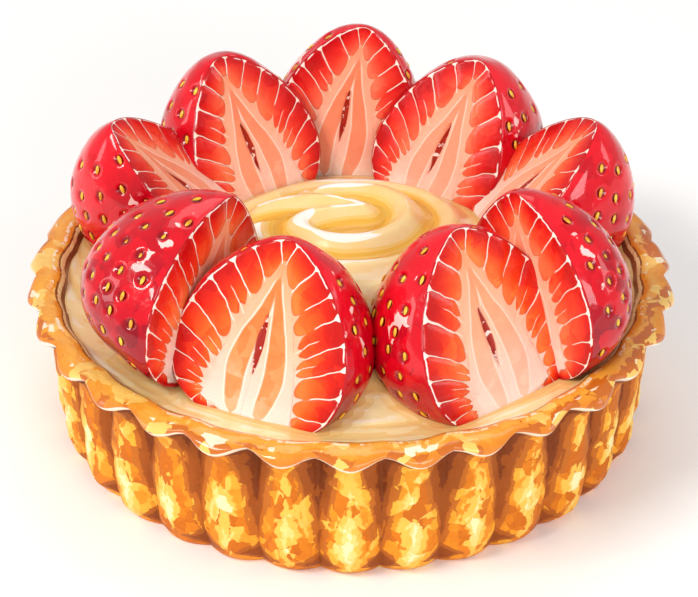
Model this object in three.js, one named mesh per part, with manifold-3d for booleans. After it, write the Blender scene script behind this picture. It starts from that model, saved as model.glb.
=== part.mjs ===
// A strawberry tart: a fluted shortcrust shell filled with custard, which is heaped and swirled in the
// middle, and a ring of nine cut strawberries that stand in the custard round the swirl.
// Millimetres, +Z up. The origin is the middle of the shell's flat underside, and -Y is the front.
import * as THREE from "three";
import { mergeVertices } from "three/addons/utils/BufferGeometryUtils.js";
import Module from "manifold-3d";

const wasm = await Module();
wasm.setup();

const TURN = 2 * Math.PI;
const GAP = 0.3; // clearance between neighbouring pieces

// The shell. Its radii are over the crests of the flutes.
const RIM_RADIUS = 60;
const SHELL_HEIGHT = 30.4;
const FOOT_RADIUS = 52.9;
const FOOT_ROUND = 1.2; // the round edge under the foot
const NECK_RADIUS = 57.6; // the wall, just under the rolled rim
const NECK_DROP = 1; // how far below the rim's lower edge the wall is that wide
const RIM_WIDTH = 7;
const RIM_DROP = 3; // how far the rim's lower edge is below its top
const RIM_WAVE = 1.7; // how far that edge rises in the creases
const FLOOR = 5;
const FLOOR_ROUND = 1.5; // the round corner between the floor and the wall
const WALL = 5.2;
const FLUTES = 30;
const FLUTE_DEPTH = 2.1;
const FLUTE_POWER = 0.85; // 1 is a plain wave, and less makes rounder crests and sharper creases
const STEPS_PER_FLUTE = 4;
const FOOT_FLUTES = 0.8; // how much of the flutes' depth there is in the underside's edge
const NECK_FLUTES = 1.1; // at the neck
const INNER_FLUTES = 0.15; // and in the rim's inner edge

// The rim's section from its lower edge over its top: each stop's distance inside RIM_RADIUS, its distance
// below SHELL_HEIGHT, its share of the flutes' depth and its share of the rim's wave.
const RIM_STOPS = [
  [0.7, RIM_DROP, 0.85, 1],
  [0, 1.9, 0.8, 0.85],
  [0.8, 0.7, 0.75, 0.4],
  [2.7, 0.05, 0.55, 0.05],
  [4.4, 0, 0.4, 0],
  [6.2, 0.8, 0.2, 0],
];

// The custard.
const CUSTARD_LEVEL = 28.5; // at the shell's inner edge
const DIP_DEPTH = 1.8; // the strawberries press the custard down
const DIP_RADIUS = 45; // where it is lowest
const DIP_REACH = 11; // and how far from there the dip ends
const HEAP_HEIGHT = 10.6; // the middle, above that level
const HEAP_SPAN = [12, 42]; // the radii between which the heap falls away
const SWIRL_DEPTH = 2.6; // from its ridges to its hollows
const SWIRL_PITCH = 9; // between one ridge and the next
const SWIRL_SPAN = [16, 28]; // the distances from the loop's middle between which it fades out
const EYE = [2.5, 9]; // where its two ridges meet
const STROKE = [[-17, 12], [-6, 14.5], EYE]; // the ridge from the left: its start, its bend and its end
const LOOP_CENTRE = [0, 8]; // the ridge that leaves the eye and runs round it
const LOOP_RADIUS = 10.8;
const LOOP_FROM = 5; // degrees, from the left by way of the front
const LOOP_TO = 330;
const LOOP_GROWTH = 7; // the degrees in which it reaches most of its radius
const CREST_STEPS = 120; // in each of the two ridges
const CUSTARD_STEPS = 60;
const FINE_STEP = 2; // between the surface's rings, over the swirl
const COARSE_STEP = 4.8; // and outside it
const RING_SHIFT = [15, 50]; // the radii between which the rings' middles move from the loop's to the shell's

// The strawberries. "around" is the place in the ring, in degrees from the front, to the right; "out" is the
// radius and "up" the height of the hull end's middle; "facing" is the way that the cut face looks, in
// degrees from the front; "back" tips the face up from upright; "roll" swings the tip to the right in the
// face's plane. "belly" is how far behind the cut face the berry is widest, as the knife passed off its middle.
const BERRIES = [
  { name: "berry_front_left", around: -25, out: 46, up: 25, facing: -24, back: 24, roll: 6,
    length: 35, width: 34, depth: 23, belly: 6 },
  { name: "berry_front_right", around: 39, out: 48, up: 25, facing: 40, back: 24, roll: -5,
    length: 36, width: 33, depth: 25, belly: 7 },
  { name: "berry_left_front", around: -44, out: 42, up: 25, facing: 54, back: 4, roll: 29,
    length: 36, width: 34, depth: 24, belly: 7 },
  { name: "berry_right_front", around: 52, out: 42, up: 25, facing: -45, back: 5, roll: -14,
    length: 35, width: 32, depth: 19, belly: 5 },
  { name: "berry_left", around: -129, out: 27.6, up: 30.9, facing: 80, back: 42, roll: -15,
    length: 33.5, width: 25, depth: 22.3, belly: 7 },
  { name: "berry_right", around: 121, out: 26.4, up: 30.6, facing: -78, back: 42, roll: 10,
    length: 34, width: 26, depth: 22, belly: 7 },
  { name: "berry_back_left", around: -154, out: 30.5, up: 27, facing: 36, back: 20, roll: -11,
    length: 33.5, width: 28, depth: 19.5, belly: 6 },
  { name: "berry_back_right", around: 156, out: 28, up: 27, facing: -36, back: 24, roll: 12,
    length: 34, width: 28, depth: 23.5, belly: 7.5 },
  { name: "berry_back", around: -175, out: 39, up: 26, facing: -8, back: 6, roll: 10,
    length: 34.5, width: 28, depth: 13, belly: 3 },
];
const SHOULDER = 0.34; // powers of the outline: fullness at the hull end, and at the tip
const TIP = 0.66;
const BACK_RISE = 0.22; // how much higher the round side stands for each millimetre behind the cut face
const DIMPLE_DEPTH = 0.45; // where the seeds sit
const SLIT_DEPTH = 0.9; // the slit in the middle of the cut face
const SLIT_SPAN = [0.3, 0.62]; // from and to, as shares of the length
const SLIT_WIDTH = 0.1; // on each side, as a share of half the face's width
const ROWS = 16;
const COLUMNS = 14;
const WELD = 1e-4; // points closer than this are one

const shellMaterial = new THREE.MeshStandardMaterial({ color: 0xe8a647, roughness: 0.6, metalness: 0 });
const custardMaterial = new THREE.MeshStandardMaterial({ color: 0xf9dc8e, roughness: 0.35, metalness: 0 });
const berryMaterial = new THREE.MeshStandardMaterial({ color: 0xd3121f, roughness: 0.25, metalness: 0 });

function radians(degrees) {
  return (degrees * Math.PI) / 180;
}

// 0 below a, 1 above b, and smooth between.
function smooth(x, a, b) {
  const t = Math.min(1, Math.max(0, (x - a) / (b - a)));
  return t * t * (3 - 2 * t);
}

// A closed solid whose rings of points follow one another, with a single point at each end.
function ringsBetweenPoles(first, rings, last) {
  const count = rings[0].length;
  const points = [first, ...rings.flat(), last];
  const end = points.length - 1;
  const triangles = [];
  const at = (row, column) => 1 + row * count + (column % count);
  for (let c = 0; c < count; c++) {
    triangles.push([0, at(0, c + 1), at(0, c)]);
    triangles.push([end, at(rings.length - 1, c), at(rings.length - 1, c + 1)]);
  }
  for (let r = 0; r + 1 < rings.length; r++) {
    for (let c = 0; c < count; c++) {
      triangles.push([at(r, c), at(r, c + 1), at(r + 1, c + 1)]);
      triangles.push([at(r, c), at(r + 1, c + 1), at(r + 1, c)]);
    }
  }
  const geometry = new THREE.BufferGeometry();
  geometry.setAttribute("position", new THREE.Float32BufferAttribute(points.flat(), 3));
  geometry.setIndex(triangles.flat());
  return geometry;
}

// One ring of points, its radius and height given for each angle. Angle 0 is the front.
function ring(steps, radiusAt, heightAt) {
  return Array.from({ length: steps }, (_, i) => {
    const angle = (TURN * i) / steps;
    return [radiusAt(angle) * Math.sin(angle), -radiusAt(angle) * Math.cos(angle), heightAt(angle)];
  });
}

// A flat round ring.
function level(steps, radius, height) {
  return ring(steps, () => radius, () => height);
}

// 0 on the crest of a flute and 1 in the crease between two.
function crease(angle) {
  return 1 - Math.abs(Math.cos((FLUTES * angle) / 2)) ** FLUTE_POWER;
}

// The inner face of the shell's wall at a height.
function innerRadius(height) {
  const lean = (NECK_RADIUS - FOOT_RADIUS) / (SHELL_HEIGHT - RIM_DROP);
  return FOOT_RADIUS - WALL + lean * height;
}

// The shell's section, from the underside round the rim to the floor inside, as radius, height, share of the
// flutes' depth, and share of the rim's wave.
function shellSection() {
  const under = SHELL_HEIGHT - RIM_DROP;
  const corner = FLOOR + FLOOR_ROUND;
  const wall = [
    [FOOT_RADIUS - FOOT_ROUND, 0, FOOT_FLUTES, 0],
    [FOOT_RADIUS, FOOT_ROUND, 1, 0],
    [(FOOT_RADIUS + NECK_RADIUS) / 2, under / 2, 1, 0],
    [NECK_RADIUS, under - NECK_DROP, NECK_FLUTES, 1],
  ];
  const rim = RIM_STOPS.map(([inwards, down, fluted, waved]) => [
    RIM_RADIUS - inwards,
    SHELL_HEIGHT - down,
    fluted,
    waved,
  ]);
  const hollow = [
    [RIM_RADIUS - RIM_WIDTH, CUSTARD_LEVEL, INNER_FLUTES, 0],
    [innerRadius(under), under, INNER_FLUTES, 0],
    [innerRadius(corner), corner, 0, 0],
    [innerRadius(FLOOR) - FLOOR_ROUND, FLOOR, 0, 0],
  ];
  return [...wall, ...rim, ...hollow];
}

function shell() {
  const rings = shellSection().map(([radius, height, fluted, waved]) =>
    ring(
      FLUTES * STEPS_PER_FLUTE,
      (angle) => radius - fluted * FLUTE_DEPTH * crease(angle),
      (angle) => height + waved * RIM_WAVE * crease(angle),
    ),
  );
  return ringsBetweenPoles([0, 0, 0], rings, [0, 0, FLOOR]);
}

// The crest of the swirl, seen from above: a stroke that comes in from the left to the eye, and a loop that
// leaves the eye and runs round it, by way of the front.
function swirlCrest() {
  const stroke = new THREE.QuadraticBezierCurve(...STROKE.map(([x, y]) => new THREE.Vector2(x, y)));
  const loop = Array.from({ length: CREST_STEPS + 1 }, (_, i) => {
    const turned = (LOOP_TO - LOOP_FROM) * (i / CREST_STEPS) ** 2;
    const grown = 1 - Math.exp(-turned / LOOP_GROWTH);
    const angle = radians(LOOP_FROM + turned);
    const middle = EYE.map((from, k) => from + (LOOP_CENTRE[k] - from) * grown);
    const reach = LOOP_RADIUS * grown;
    return new THREE.Vector2(middle[0] - reach * Math.cos(angle), middle[1] - reach * Math.sin(angle));
  });
  return [...stroke.getPoints(CREST_STEPS), ...loop];
}

const crest = swirlCrest();

// The custard's surface: a low dome with a dip round it, and the swirl, whose height is a wave of the distance
// from its crest.
function custardHeight(x, y) {
  const radius = Math.hypot(x, y);
  const heap = HEAP_HEIGHT * (1 - smooth(radius, ...HEAP_SPAN));
  const dip = DIP_DEPTH * (1 - smooth(Math.abs(radius - DIP_RADIUS), 0, DIP_REACH));
  const away = Math.min(...crest.map((point) => Math.hypot(x - point.x, y - point.y)));
  const fade = 1 - smooth(Math.hypot(x - LOOP_CENTRE[0], y - LOOP_CENTRE[1]), ...SWIRL_SPAN);
  return CUSTARD_LEVEL + heap - dip + (SWIRL_DEPTH / 2) * Math.cos((TURN * away) / SWIRL_PITCH) * fade;
}

// A ring on the custard's surface. The smaller it is, the nearer its middle is to the loop's.
function surfaceRing(radius) {
  const shift = 1 - smooth(radius, ...RING_SHIFT);
  return level(CUSTARD_STEPS, radius, 0).map(([x, y]) => {
    const place = [x + shift * LOOP_CENTRE[0], y + shift * LOOP_CENTRE[1]];
    return [...place, custardHeight(...place)];
  });
}

// The custard fills the shell, clear of it by the gap, up to the surface. The surface's rings lie close
// together over the swirl and further apart outside it.
function custard() {
  const edge = RIM_RADIUS - RIM_WIDTH - INNER_FLUTES * FLUTE_DEPTH - GAP;
  const bottom = FLOOR + GAP;
  const corner = FLOOR + FLOOR_ROUND + GAP;
  const neck = SHELL_HEIGHT - RIM_DROP - GAP;
  const rings = [
    level(CUSTARD_STEPS, innerRadius(FLOOR) - FLOOR_ROUND - 2 * GAP, bottom),
    level(CUSTARD_STEPS, innerRadius(corner) - 2 * GAP, corner),
    level(CUSTARD_STEPS, innerRadius(neck) - 2 * GAP, neck),
  ];
  let radius = edge;
  while (radius > FINE_STEP / 2) {
    rings.push(surfaceRing(radius));
    radius -= radius > SWIRL_SPAN[1] ? COARSE_STEP : FINE_STEP;
  }
  return ringsBetweenPoles([0, 0, bottom], rings, [...LOOP_CENTRE, custardHeight(...LOOP_CENTRE)]);
}

// The share of the full width at a share t of the length, from the hull end at 0 to the tip at 1.
function outline(t) {
  const peak = SHOULDER / (SHOULDER + TIP);
  return (t ** SHOULDER * (1 - t) ** TIP) / (peak ** SHOULDER * (1 - peak) ** TIP);
}

// One cut strawberry: its face in the plane y = 0, looking to -Y, its length along Z and its round side
// behind. Each section is part of an ellipse whose middle lies behind the face, so the flanks swell past the
// cut edge, and it leans: the further behind the face, the higher. A berry that is grown by a clearance has no
// dimples and no slit.
function berry({ length, width, depth, belly }, grow) {
  const half = width / 2 + grow;
  const round = depth + grow - belly;
  const start = -Math.asin((belly + grow) / round);
  const wide = half / Math.cos(start);
  const dimple = grow > 0 ? 0 : DIMPLE_DEPTH / half;
  const slit = grow > 0 ? 0 : SLIT_DEPTH;
  const rings = [];
  for (let r = 1; r < ROWS; r++) {
    const t = (1 - Math.cos((Math.PI * r) / ROWS)) / 2;
    const z = t * (length + 2 * grow) - grow;
    const share = outline(t);
    const points = [];
    for (let c = 0; c <= COLUMNS; c++) {
      const turn = start + ((Math.PI - 2 * start) * c) / COLUMNS;
      const seed = (r + c) % 2 === 0 && c > 0 && c < COLUMNS && r > 1 && r < ROWS - 1;
      const reach = seed ? share * (1 - dimple) : share;
      const behind = reach * (belly + grow + round * Math.sin(turn));
      points.push([reach * wide * Math.cos(turn), behind - grow, z + BACK_RISE * behind]);
    }
    for (const across of [-SLIT_WIDTH, 0, SLIT_WIDTH]) {
      const inSlit = across === 0 && t > SLIT_SPAN[0] && t < SLIT_SPAN[1];
      points.push([share * half * across, (inSlit ? slit : 0) - grow, z]);
    }
    rings.push(points);
  }
  return ringsBetweenPoles([0, -grow, -grow], rings, [0, -grow, length + grow]);
}

// Where a strawberry stands, as a matrix.
function placeOf({ around, out, up, facing, back, roll }) {
  const place = new THREE.Object3D();
  const angle = radians(around);
  place.position.set(out * Math.sin(angle), -out * Math.cos(angle), up);
  place.rotation.set(-radians(back), radians(roll), radians(facing), "ZXY");
  place.updateMatrix();
  return place.matrix;
}

// A manifold solid from a geometry.
function solidOf(geometry) {
  const merged = mergeVertices(geometry, WELD);
  return new wasm.Manifold(
    new wasm.Mesh({
      numProp: 3,
      vertProperties: merged.attributes.position.array,
      triVerts: new Uint32Array(merged.index.array),
    }),
  );
}

// One strawberry in its place, as a solid grown by a clearance all round.
function placedBerry(one, grow) {
  return solidOf(berry(one, grow).applyMatrix4(placeOf(one)));
}

// A geometry from a manifold solid.
function geometryFrom(solid) {
  const mesh = solid.getMesh();
  const geometry = new THREE.BufferGeometry();
  geometry.setAttribute("position", new THREE.Float32BufferAttribute(mesh.vertProperties, 3));
  geometry.setIndex(new THREE.Uint32BufferAttribute(mesh.triVerts, 1));
  return geometry;
}

function meshOf(name, geometry, material) {
  const mesh = new THREE.Mesh(geometry, material);
  mesh.name = name;
  return mesh;
}

// The custard has a socket for each berry, and each berry is pressed in by the ones before it in the list.
const tart = new THREE.Group();
let filling = solidOf(custard());
const sockets = [];
for (const one of BERRIES) {
  const pressed = sockets.reduce((solid, socket) => solid.subtract(socket), placedBerry(one, 0));
  tart.add(meshOf(one.name, geometryFrom(pressed), berryMaterial));
  sockets.push(placedBerry(one, GAP));
  filling = filling.subtract(sockets.at(-1));
}
tart.add(meshOf("custard", geometryFrom(filling), custardMaterial));
tart.add(meshOf("shell", shell(), shellMaterial));

export default tart;
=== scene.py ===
"""A strawberry tart: a fluted shortcrust shell, custard swirled in the middle, and nine cut strawberries.

Shapes are worked out in millimetres, +Z up, from the middle of the shell's flat underside, with -Y as the
front, and become metres in mesh_of(). Each shape is a formula on a grid of two parameters, given in its
docstring.
"""
import math

import bpy
import numpy as np
from mathutils import Matrix, Vector


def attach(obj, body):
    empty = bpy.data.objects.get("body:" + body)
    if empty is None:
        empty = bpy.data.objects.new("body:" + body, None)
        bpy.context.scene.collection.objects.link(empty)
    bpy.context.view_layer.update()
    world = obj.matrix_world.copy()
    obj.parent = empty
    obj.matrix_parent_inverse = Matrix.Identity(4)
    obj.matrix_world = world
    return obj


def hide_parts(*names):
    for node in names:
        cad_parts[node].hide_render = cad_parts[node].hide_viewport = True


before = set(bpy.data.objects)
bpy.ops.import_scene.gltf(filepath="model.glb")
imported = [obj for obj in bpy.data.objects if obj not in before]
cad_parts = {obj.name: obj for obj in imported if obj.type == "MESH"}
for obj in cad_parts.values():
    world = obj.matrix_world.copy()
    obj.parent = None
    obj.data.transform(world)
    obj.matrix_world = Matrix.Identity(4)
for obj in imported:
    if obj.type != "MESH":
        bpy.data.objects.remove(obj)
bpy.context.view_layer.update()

MM = 0.001
WELD = 1e5  # points that are the same to this share of a millimetre are one
TURN = 2 * math.pi

# The shell. Its radii are over the crests of the flutes.
RIM_RADIUS = 60
SHELL_HEIGHT = 30.4
FOOT_RADIUS = 52.9
FOOT_ROUND = 1.2
UNDER_RINGS = (25, 50)  # the radii of the rings in the flat underside
NECK_RADIUS = 57.6
NECK_DROP = 1
RIM_WIDTH = 7
RIM_DROP = 3
RIM_WAVE = 1.7
FLOOR = 5
FLOOR_ROUND = 1.5
WALL = 5.2
FLUTES = 30
FLUTE_DEPTH = 2.1
FLUTE_POWER = 0.85
FOOT_FLUTES = 0.8
NECK_FLUTES = 1.1
INNER_FLUTES = 0.15
LOBE_SOFTNESS = 0.5  # how far the rim's scallops go from the flutes' crests to a sine squared, from above
STEPS_PER_FLUTE = 24
WALL_CRUMBS = [(0.3, 11), (0.24, 3.1), (0.16, 1.3)]  # how deep and how wide the wall's bumps are
RIM_LUMPS = [(0.45, 9), (0.12, 2.6)]
# Where, along "way", the softer scallops, the crumbs and the lumps begin and end.
SOFT_SPAN = ((-0.2, 0.1), (0.9, 1.05))
CRUMB_SPAN = ((-1.05, -0.95), (-0.05, 0.1))
LUMP_SPAN = ((0, 0.2), (0.95, 1.05))
# The rim's section from its lower edge over its top: each stop's distance inside RIM_RADIUS, its distance
# below SHELL_HEIGHT, its shares of the flutes' depth and of the rim's wave, and its "way".
RIM_STOPS = [
    (0.7, RIM_DROP, 0.85, 1, 0.1),
    (0, 1.9, 0.8, 0.85, 0.25),
    (0.8, 0.7, 0.75, 0.4, 0.4),
    (2.7, 0.05, 0.55, 0.05, 0.58),
    (4.4, 0, 0.4, 0, 0.72),
    (6.2, 0.8, 0.2, 0, 0.88),
]
SECTION_STEPS = (5, 22, 26, 5, 6, 7, 8, 7, 7, 7, 3, 3, 2)  # between the stops of the whole section

# The custard.
CUSTARD_LEVEL = 28.5
DIP_DEPTH = 1.8
DIP_RADIUS = 45
DIP_REACH = 11
HEAP_HEIGHT = 10.6
HEAP_SPAN = (12, 42)
SWIRL_DEPTH = 2.6
SWIRL_PITCH = 9
SWIRL_SPAN = (16, 28)
EYE = (2.5, 9)  # where the swirl's two ridges meet
STROKE = np.array([(-17, 12), (-6, 14.5), EYE])
LOOP_CENTRE = np.array([0, 8])
LOOP_RADIUS = 10.8
LOOP_FROM = 5  # degrees, from the left by way of the front
LOOP_TO = 330
LOOP_GROWTH = 7
CREST_STEPS = 200
FOLD_DEPTH = 1.1  # the step behind the stroke's far edge
FOLD_OFFSET = [(-8.5, -0.5), (2.9, 0.1)]  # from left to right, and how far behind the stroke's middle it lies
FOLD_EDGE = (-0.3, 0.35)  # over which it steps down
FOLD_REACH = 3  # how soon the surface comes up again behind it
FOLD_SPAN = ((-10, -6), (-3.5, 0.5))  # where it begins and ends, from left to right
FOLD_SHADE = 0.4
STREAK_WIDTH = 1.3
STREAK_LENGTH = 9
GLEAMS = (-5, 185, 255)  # degrees from the back, to the right, where the swirl's crests get white painted highlights
GLEAM_WIDTH = 26
GLEAM_CLEAR = (6, 9)  # how far from the loop's middle they begin
CUSTARD_RINGS = 130
CUSTARD_STEPS = 360
CUSTARD_SLIDE = 0.3  # the share of the rings that share the loop's middle
EDGE_BITE = 0.6  # how far the custard reaches into the crust, so that no gap shows
EDGE_RISE = 0.3  # the custard's lip against the crust
EDGE_REACH = 1.2
FOOT_RISE = 0.25  # and against each strawberry
FOOT_REACH = 1.1
EDGE_CALM = (3, 4)  # how far from the crust the strawberries' lips and the unevenness are whole
CUSTARD_WAVES = (0.3, 8)  # how deep and how wide its unevenness is

# The strawberries: "around" is the place in the ring in degrees from the front, to the right; "out" is the
# radius and "up" the height of the hull end's middle; "facing" is the way that the cut face looks; "back"
# tips the face up from upright; "roll" swings the tip to the right; "belly" is how far behind the face the
# berry is widest. "ripe" is 0 for the orange flesh of the front ones and 1 for the pink flesh of those at
# the back, and "pith" is how far the strips in the core stand out.
BERRIES = [
    dict(name="front_left", around=-25, out=46, up=25, facing=-24, back=24, roll=6,
         length=35, width=34, depth=23, belly=6, ripe=0.0, pith=1.0),
    dict(name="front_right", around=39, out=48, up=25, facing=40, back=24, roll=-5,
         length=36, width=33, depth=25, belly=7, ripe=0.1, pith=0.4),
    dict(name="left_front", around=-44, out=42, up=25, facing=54, back=4, roll=29,
         length=36, width=34, depth=24, belly=7, ripe=0.3, pith=0.6),
    dict(name="right_front", around=52, out=42, up=25, facing=-45, back=5, roll=-14,
         length=35, width=32, depth=19, belly=5, ripe=0.5, pith=0.3),
    dict(name="left", around=-129, out=27.6, up=30.9, facing=80, back=42, roll=-15,
         length=33.5, width=25, depth=22.3, belly=7, ripe=0.7, pith=0.6),
    dict(name="right", around=121, out=26.4, up=30.6, facing=-78, back=42, roll=10,
         length=34, width=26, depth=22, belly=7, ripe=0.5, pith=0.4),
    dict(name="back_left", around=-154, out=30.5, up=27, facing=36, back=20, roll=-11,
         length=33.5, width=28, depth=19.5, belly=6, ripe=0.6, pith=0.7),
    dict(name="back_right", around=156, out=28, up=27, facing=-36, back=24, roll=12,
         length=34, width=28, depth=23.5, belly=7.5, ripe=0.7, pith=0.5),
    dict(name="back", around=-175, out=39, up=26, facing=-8, back=6, roll=10,
         length=34.5, width=28, depth=13, belly=3, ripe=0.9, pith=0.8),
]
SHOULDER = 0.34
TIP = 0.66
BACK_RISE = 0.22  # how much higher the round side stands for each millimetre behind the cut face
HULL_CUT = 0.012  # the share of the length at which the flat hull end closes
BERRY_ROWS = 136
FLANK_COLUMNS = 132
FLANK_CROWDING = 0.45  # the share by which the skin's columns crowd to the cut edges
FINGER_COLUMNS = 40
CORE_COLUMNS = 24
CORE_CROWDING = 1.5  # the power by which the core's columns crowd to its middle
SKIN_WAVES = (0.4, 8)  # how deep and how wide the skin's unevenness is
CALM = (0.03, 0.05)  # the shares of the girth and of the length at whose ends it dies away, without seeds
SEED_SPACING = 4.8
SEED_ROW_GAP = 0.82  # from row to row, in spacings
SEED_ENDS = (2.2, 1.5)  # the lengths at the hull and at the tip without seeds
SEED_DRIFT = (0.1, 0.45)  # along the row, in spacings, and along the berry, in millimetres
SEED_SIZE = (0.38, 0.28, 0.84)  # half its width, thickness and length
SEED_POINT = 1.15  # how far its pointed end reaches, in half lengths
SEED_SINK = 0.32
SEED_SIDES = 6
SEED_RINGS = 3
DIMPLE_RADIUS = 1.5
DIMPLE_DEPTH = 0.6
SHARP = 55  # degrees between faces, from which an edge of a berry isn't smoothed
SKIN, FLESH, PIP = range(3)  # the order of a berry's materials
FINGERS = 9  # the wedges of flesh on each side of the core
FINGER_VARIATION = 0.25
FINGER_START = 0.35  # how far into a wedge the hull end lies
RIGHT_FINGERS = 20  # added to the numbers of the wedges on the right
VEIN_BEND = 0.05
PILLOW = 0.28  # how far each wedge swells from the cut
PILLOW_REACH = ((0.02, 0.3), (0.9, 1))  # where this begins and ends, from the core to the skin
PILLOW_LENGTH = ((0, 0.04), (0.96, 1))  # and from the hull to the tip
SLIT_DEPTH = 0.8
SLIT_SPAN = (0.27, 0.6)
SLIT_WIDTH = 0.047
SLIT_LEAN = -0.035  # it lies beside the left strip of pith

# The seeds of the random draws. Each further bump or berry takes the next number.
WALL_DRAW = 3
RIM_DRAW = 6
CUSTARD_DRAW = 11
STREAK_DRAW = 12
BERRY_DRAW = 100

# The studio, in metres and watts: each light is its name, place, size, power and colour.
LIGHTS = [
    ("key", (-0.5, -0.38, 0.68), (0.4, 0.15), 4.2, "#FFFAF2"),
    ("front", (0.3, -0.78, 0.4), (0.5, 0.3), 3.0, "#FFFFFF"),
    ("left", (-0.9, -0.15, 0.3), (0.2, 0.4), 1.0, "#FFFFFF"),
    ("right", (0.9, -0.1, 0.4), (0.2, 0.4), 0.9, "#FFFFFF"),
    ("back", (0.05, 0.45, 0.8), (0.4, 0.4), 0.9, "#FFFFFF"),
]
LIT_PLACE = Vector((0, 0, 0.03))
WORLD_LIGHT = 0.52
FLOOR_HALF = 3

# The camera: its place follows from where it aims, in metres, and how far away and how high it stands.
AIM = Vector((-0.000186, -0.000964, 0.025516))
DISTANCE = 0.7
ELEVATION = math.radians(33)
PIXELS_PER_METRE = 5367  # at the aim
PICTURE_WIDTH = 698
SENSOR = 36
CLIP = (0.01, 20)


def smooth(x, low, high):
    """0 below low, 1 above high, and 3s^2 - 2s^3 between, where s is the share of the way."""
    s = np.clip((x - low) / (high - low), 0, 1)
    return s * s * (3 - 2 * s)


def between(x, rise, fall):
    """1 between two spans and 0 outside them: a smooth step up over the first and down over the second."""
    return smooth(x, *rise) * (1 - smooth(x, *fall))


def noise(points, size, seed):
    """Smooth noise from -1 to 1: seeded values at the corners of cubes of the given size, which fade into
    one another across each cube by 3s^2 - 2s^3 in each direction."""
    values = np.random.default_rng(seed).uniform(-1, 1, (32, 32, 32))
    scaled = points / size
    cell = np.floor(scaled).astype(int)
    share = smooth(scaled - cell, 0, 1)
    total = 0
    for corner in np.ndindex(2, 2, 2):
        weight = np.prod(np.where(corner, share, 1 - share), axis=-1)
        total = total + weight * values[tuple(np.moveaxis((cell + corner) % 32, -1, 0))]
    return total


def uneven(points, bumps, seed):
    """Noise of several sizes at once: each of the bumps is a depth and a width."""
    return sum(depth * noise(points, width, seed + k) for k, (depth, width) in enumerate(bumps))


def grid_faces(rows, columns, wrap=False, first=0):
    """Two triangles for each cell of a grid of points stored row by row. With wrap the last column joins
    the first one."""
    row, column = np.meshgrid(np.arange(rows - 1), np.arange(columns - (not wrap)), indexing="ij")
    a = first + row * columns + column
    b = first + row * columns + (column + 1) % columns
    corners = [(a, b, b + columns), (a, b + columns, a + columns)]
    return np.concatenate([np.stack(three, -1).reshape(-1, 3) for three in corners])


def fan_faces(pole, loop):
    """Triangles from a pole to each step of a loop of points, which runs clockwise seen from outside."""
    return np.stack([np.full(len(loop), pole), np.roll(loop, -1), loop], -1)


def unit(vectors):
    """The vectors at length 1."""
    return vectors / np.maximum(np.linalg.norm(vectors, axis=-1, keepdims=True), 1e-9)


def ring_of(radius, angle, height):
    """Points round the middle of the tart, at angles from the front, to the right."""
    return np.stack(np.broadcast_arrays(radius * np.sin(angle), -radius * np.cos(angle), height), -1)


def normals(points, wrap=False):
    """The unit normal at each point of a grid: the step along the rows, crossed with the step down them."""
    down = np.gradient(points, axis=0)
    if wrap:
        along = np.roll(points, -1, axis=1) - np.roll(points, 1, axis=1)
    else:
        along = np.gradient(points, axis=1)
    return unit(np.cross(along, down))


def through(stops, counts):
    """A smooth curve through rows of numbers whose first two are a place: between two stops, the cubic that
    has at each stop the slope of the parabola through it and its neighbours, in that many steps."""
    stops = np.array(stops, float)
    chords = np.linalg.norm(np.diff(stops[:, :2], axis=0), axis=1)
    slopes = np.gradient(stops, np.concatenate([[0], np.cumsum(chords)]), axis=0)
    runs = []
    for k, count in enumerate(counts):
        s = np.arange(count)[:, None] / count
        ease = s * s * (3 - 2 * s)
        leave = s * (1 - s) ** 2 * chords[k] * slopes[k]
        arrive = s * s * (1 - s) * chords[k] * slopes[k + 1]
        runs.append(stops[k] * (1 - ease) + stops[k + 1] * ease + leave - arrive)
    return np.vstack([*runs, stops[-1:]])


def welded(points, corners, fields, material):
    """Points that lie together become one, the first of them keeping its fields, and the triangles that this
    flattens are dropped."""
    keys = np.round(points * WELD).astype(np.int64)
    _, first, index = np.unique(keys, axis=0, return_index=True, return_inverse=True)
    corners = index.reshape(-1)[corners]
    a, b, c = corners.T
    whole = (a != b) & (b != c) & (c != a)
    fields = {name: values[first] for name, values in fields.items()}
    return points[first], corners[whole], fields, material[whole]


def mesh_of(name, points, corners, fields, materials, material=0, sharp=None):
    """An object at the origin with these points, in millimetres, triangles, fields as float attributes and
    materials. "material" numbers the one on each triangle, and edges over "sharp" degrees stay sharp."""
    mesh = bpy.data.meshes.new(name)
    mesh.vertices.add(len(points))
    mesh.vertices.foreach_set("co", (points * MM).astype(np.float32).ravel())
    mesh.loops.add(corners.size)
    mesh.loops.foreach_set("vertex_index", corners.astype(np.int32).ravel())
    mesh.polygons.add(len(corners))
    mesh.polygons.foreach_set("loop_start", np.arange(0, corners.size, 3, dtype=np.int32))
    for one in materials:
        mesh.materials.append(one)
    numbers = np.broadcast_to(material, len(corners)).astype(np.int32)
    mesh.polygons.foreach_set("material_index", numbers)
    for field, values in fields.items():
        attribute = mesh.attributes.new(field, "FLOAT", "POINT")
        attribute.data.foreach_set("value", values.astype(np.float32).ravel())
    mesh.update(calc_edges=True)
    mesh.shade_smooth()
    if sharp:
        mesh.set_sharp_from_angle(angle=math.radians(sharp))
    made = bpy.data.objects.new(name, mesh)
    bpy.context.scene.collection.objects.link(made)
    return made


def place_piece(made, node):
    """A piece of the tart rides on its one body and stands for its solid."""
    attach(made, "root")
    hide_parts(node)


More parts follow.
